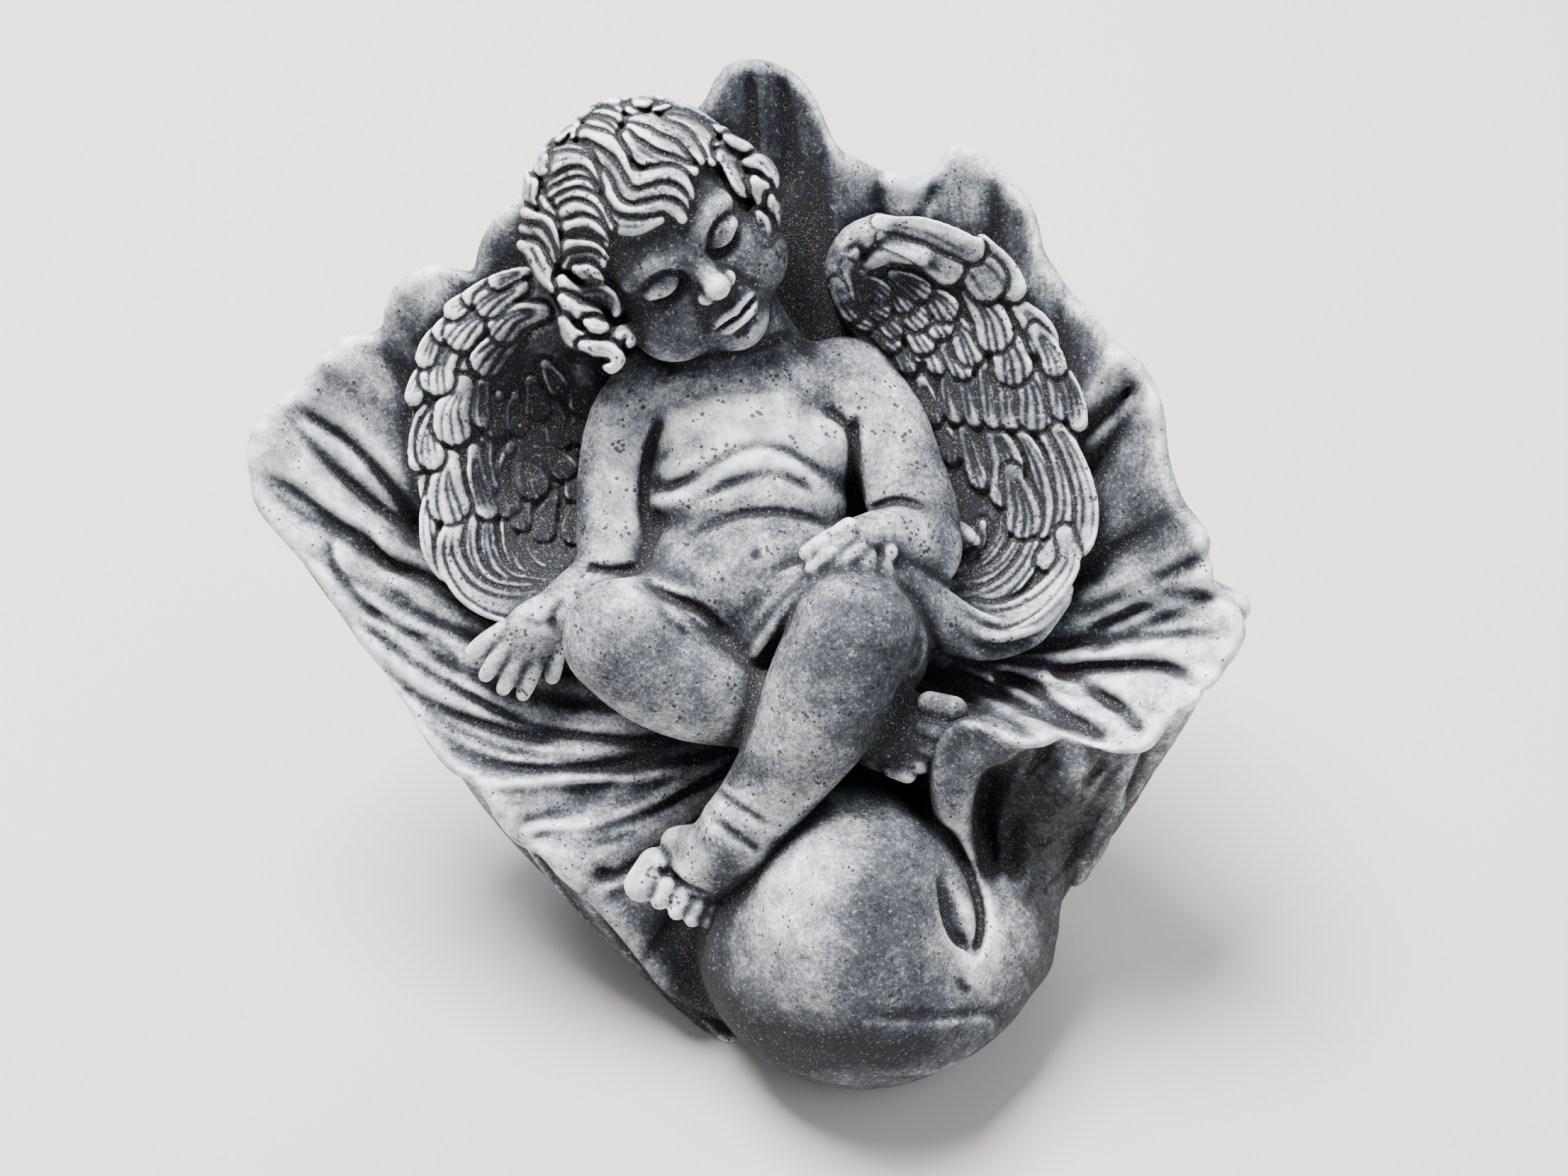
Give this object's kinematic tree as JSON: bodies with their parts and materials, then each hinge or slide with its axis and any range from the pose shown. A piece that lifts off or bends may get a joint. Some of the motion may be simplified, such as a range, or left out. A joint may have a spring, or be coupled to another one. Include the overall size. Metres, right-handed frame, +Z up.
{
  "type": "garden statue",
  "caption": "Concrete garden statue of a winged child asleep on its back in an open, ruffled shell, resting on a rounded whorl, in an antiqued grey finish.",
  "frame": {"origin": "on the ground under the middle of the statue, inside the flat face it stands on", "axes": "+Z up; the statue faces -Y and leans back towards +Y; +X is to the right of someone facing it"},
  "size_m": [0.2548, 0.1883, 0.2132],
  "materials": {
    "concrete": "matt cast concrete, antiqued: near-black in the recesses, mid grey wash, pale grey brushed over the raised forms"
  },
  "bodies": {
    "root": {"cherub_in_shell": "concrete"}
  },
  "joints": []
}
